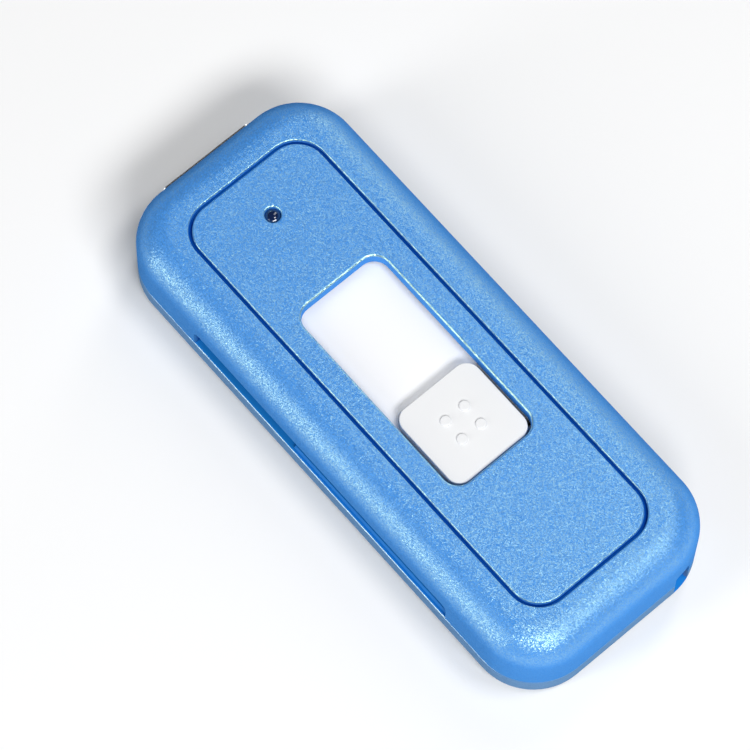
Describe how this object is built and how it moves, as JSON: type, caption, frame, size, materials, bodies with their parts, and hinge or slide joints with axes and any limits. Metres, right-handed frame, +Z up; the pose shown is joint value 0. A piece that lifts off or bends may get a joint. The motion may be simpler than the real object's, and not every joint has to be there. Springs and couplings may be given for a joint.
{
  "type": "usb memory card reader",
  "caption": "Pocket memory card reader with rounded pearl-blue case, white thumb slider that pushes the plug out of one end, card slot in one long side and a cord corner.",
  "frame": {"origin": "middle of the case's underside", "axes": "+X along the case towards the cord corner's end, away from the plug; -Y towards the card slot; +Z up out of the button's panel"},
  "size_m": [0.068, 0.0276, 0.0116],
  "materials": {
    "pearl_blue": "fine pearl paint on moulded plastic, satin",
    "grey_blue": "satin paint on moulded plastic",
    "smoked_lens": "clear dark resin, polished",
    "white_plastic": "moulded, fine satin",
    "bare_blue": "moulded in colour, unpainted",
    "circuit_board": "solder mask over woven laminate",
    "plated_steel": "nickel-plated sheet",
    "black_plastic": "moulded",
    "gold_contact": "gold flash",
    "chip_black": "moulded resin",
    "tinned_lead": "tinned",
    "led_resin": "clear resin",
    "capacitor_tan": "ceramic with tinned ends",
    "resistor_black": "glazed ceramic with tinned ends"
  },
  "bodies": {
    "case": {"top_cover": "pearl_blue", "bottom_cover": "grey_blue", "light_lens": "smoked_lens"},
    "carriage": {"thumb_slider": "white_plastic", "carriage_tray": "bare_blue", "main_board": "circuit_board", "usb_shell": "plated_steel", "usb_tongue": "black_plastic", "usb_contacts": "gold_contact", "socket_base": "black_plastic", "socket_shield": "plated_steel", "socket_contacts": "gold_contact", "card_switch_springs": "gold_contact", "controller_chip": "chip_black", "controller_leads": "tinned_lead", "regulator": "chip_black", "regulator_leads": "tinned_lead", "crystal_can": "plated_steel", "status_led": "led_resin", "chip_capacitors": "capacitor_tan", "chip_resistors": "resistor_black"}
  },
  "joints": [
    {"name": "plug_slide", "type": "slide", "parent": "case", "child": "carriage", "axis": [-1, 0, 0], "range_m": [0, 0.0151]}
  ]
}
